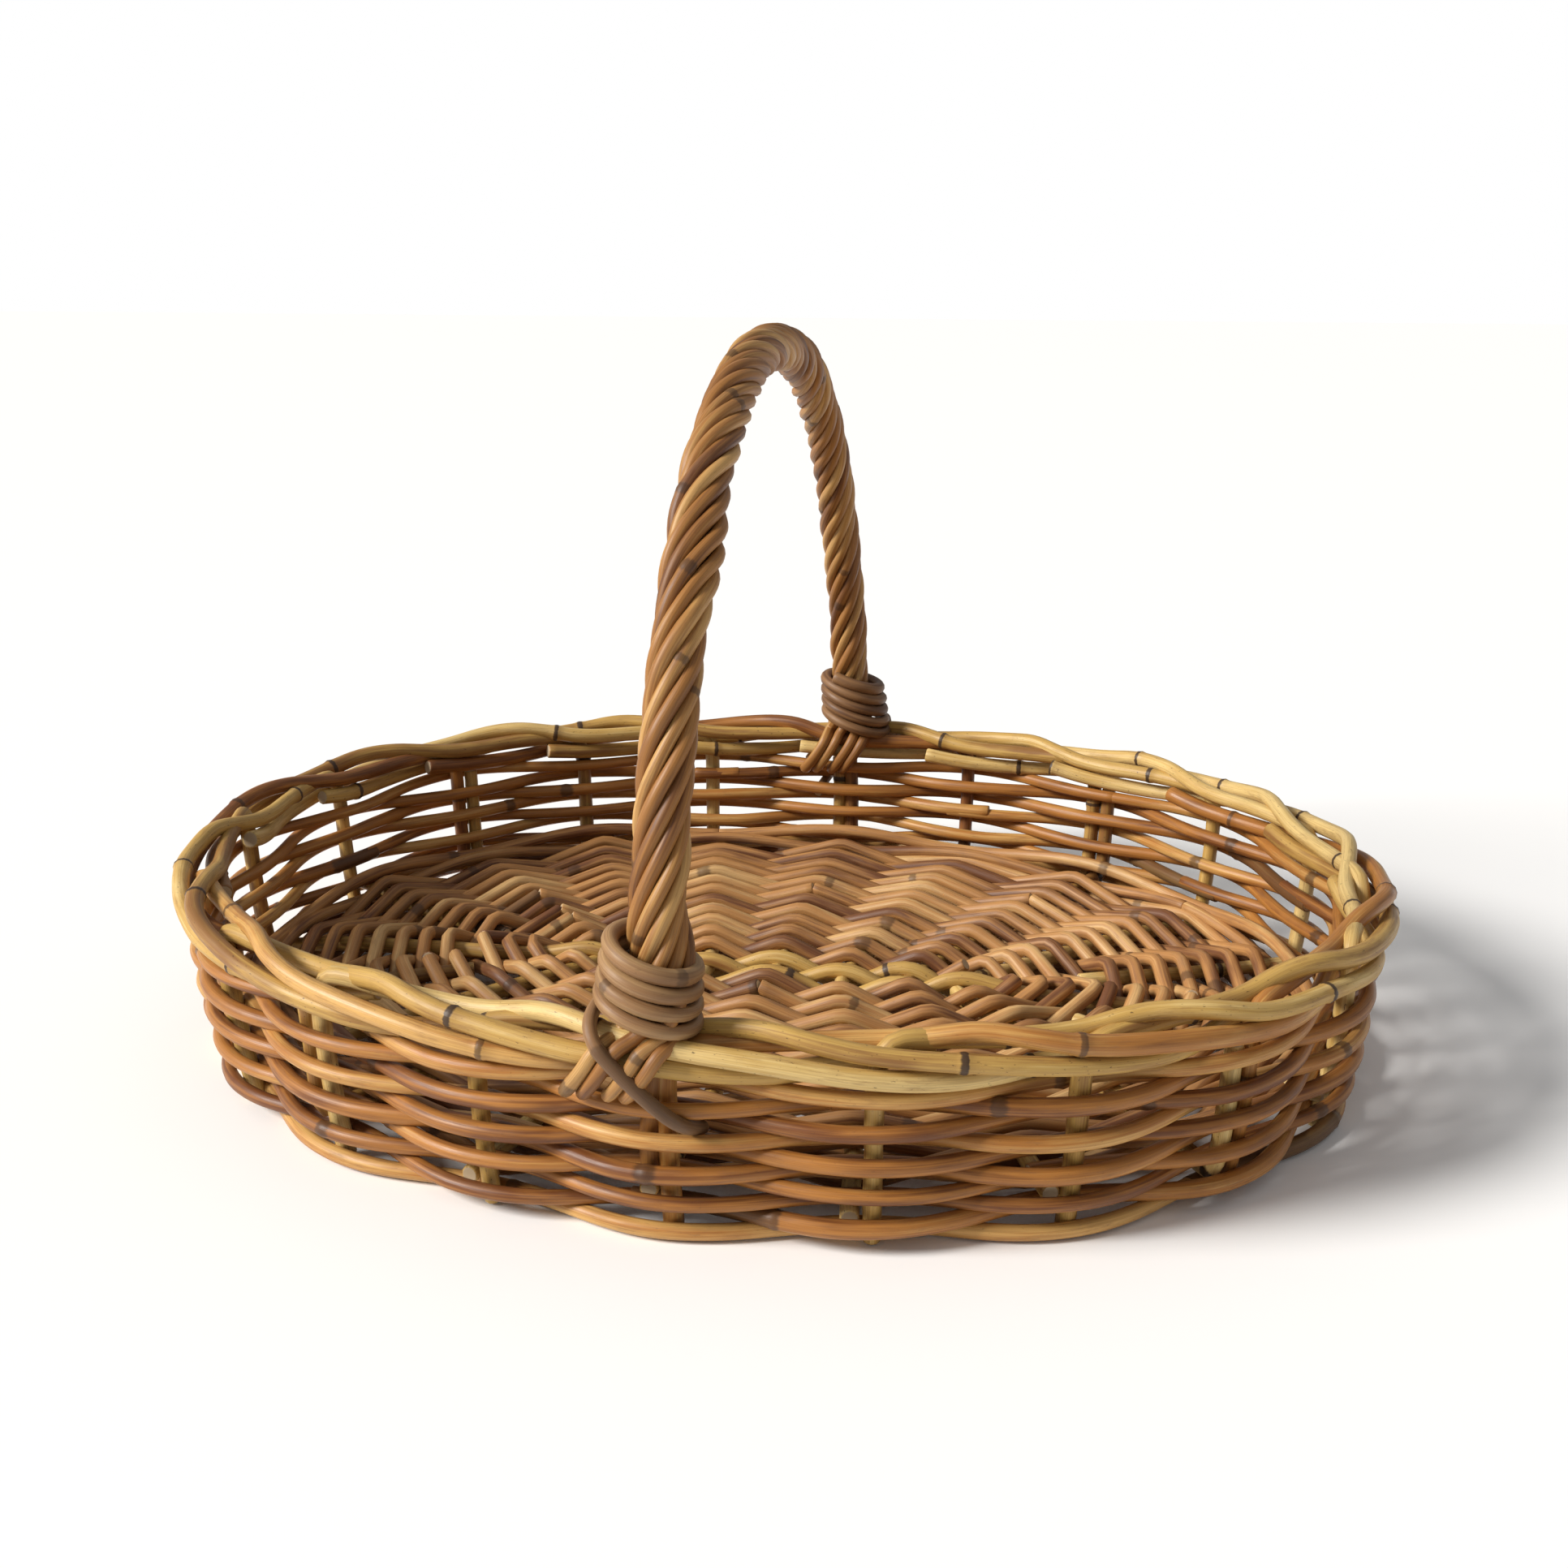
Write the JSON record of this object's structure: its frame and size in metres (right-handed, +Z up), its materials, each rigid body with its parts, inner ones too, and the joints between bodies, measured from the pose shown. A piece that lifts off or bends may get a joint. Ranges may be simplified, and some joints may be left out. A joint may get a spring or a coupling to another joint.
{
  "type": "oval wicker basket",
  "caption": "Low oval wicker basket, hand woven, with a plaited border and one fixed arched rope-twist handle across its middle.",
  "frame": {"origin": "centre of the oval footprint, on the surface that the basket stands on", "axes": "+Z up; X along the basket's long axis; Y along its short axis, which the handle spans, with -Y the front"},
  "size_m": [0.5592, 0.468, 0.3207],
  "materials": {
    "stake_cane": "pale straw cane with dark nodes, satin",
    "wall_rod": "orange-brown unpeeled rod, semi-gloss",
    "base_rod": "pinkish tan rod, satin",
    "handle_rod": "tan-brown rod, semi-gloss",
    "binding_cane": "grey-tan soft cane, satin"
  },
  "bodies": {
    "root": {"stake_01": "stake_cane", "stake_02": "stake_cane", "stake_03": "stake_cane", "stake_04": "stake_cane", "stake_05": "stake_cane", "stake_06": "stake_cane", "stake_07": "stake_cane", "stake_08": "stake_cane", "stake_09": "stake_cane", "stake_10": "stake_cane", "stake_11": "stake_cane", "stake_12": "stake_cane", "stake_13": "stake_cane", "stake_14": "stake_cane", "stake_15": "stake_cane", "stake_16": "stake_cane", "stake_17": "stake_cane", "stake_18": "stake_cane", "stake_19": "stake_cane", "stake_20": "stake_cane", "short_stick_1": "stake_cane", "short_stick_2": "stake_cane", "short_stick_3": "stake_cane", "short_stick_4": "stake_cane", "short_stick_5": "stake_cane", "short_stick_6": "stake_cane", "short_stick_7": "stake_cane", "long_stick_middle": "stake_cane", "long_stick_front": "stake_cane", "long_stick_back": "stake_cane", "base_weaver_a1": "base_rod", "base_weaver_a2": "base_rod", "base_weaver_a3": "base_rod", "base_weaver_a4": "base_rod", "base_weaver_b1": "base_rod", "base_weaver_b2": "base_rod", "base_weaver_b3": "base_rod", "base_weaver_b4": "base_rod", "end_rib_1": "stake_cane", "end_rib_2": "stake_cane", "end_rib_3": "stake_cane", "end_rib_4": "stake_cane", "wall_weaver_1": "wall_rod", "wall_weaver_2": "wall_rod", "wall_weaver_3": "wall_rod", "wall_weaver_4": "wall_rod", "wall_weaver_5": "wall_rod", "wall_weaver_6": "wall_rod", "wall_weaver_7": "wall_rod", "wall_weaver_8": "wall_rod", "wall_weaver_9": "wall_rod", "handle_bow": "handle_rod", "handle_strand_1": "handle_rod", "handle_strand_2": "handle_rod", "handle_strand_3": "handle_rod", "handle_strand_4": "handle_rod", "handle_strand_5": "handle_rod", "handle_strand_6": "handle_rod", "front_binding": "binding_cane", "back_binding": "binding_cane"}
  },
  "joints": []
}
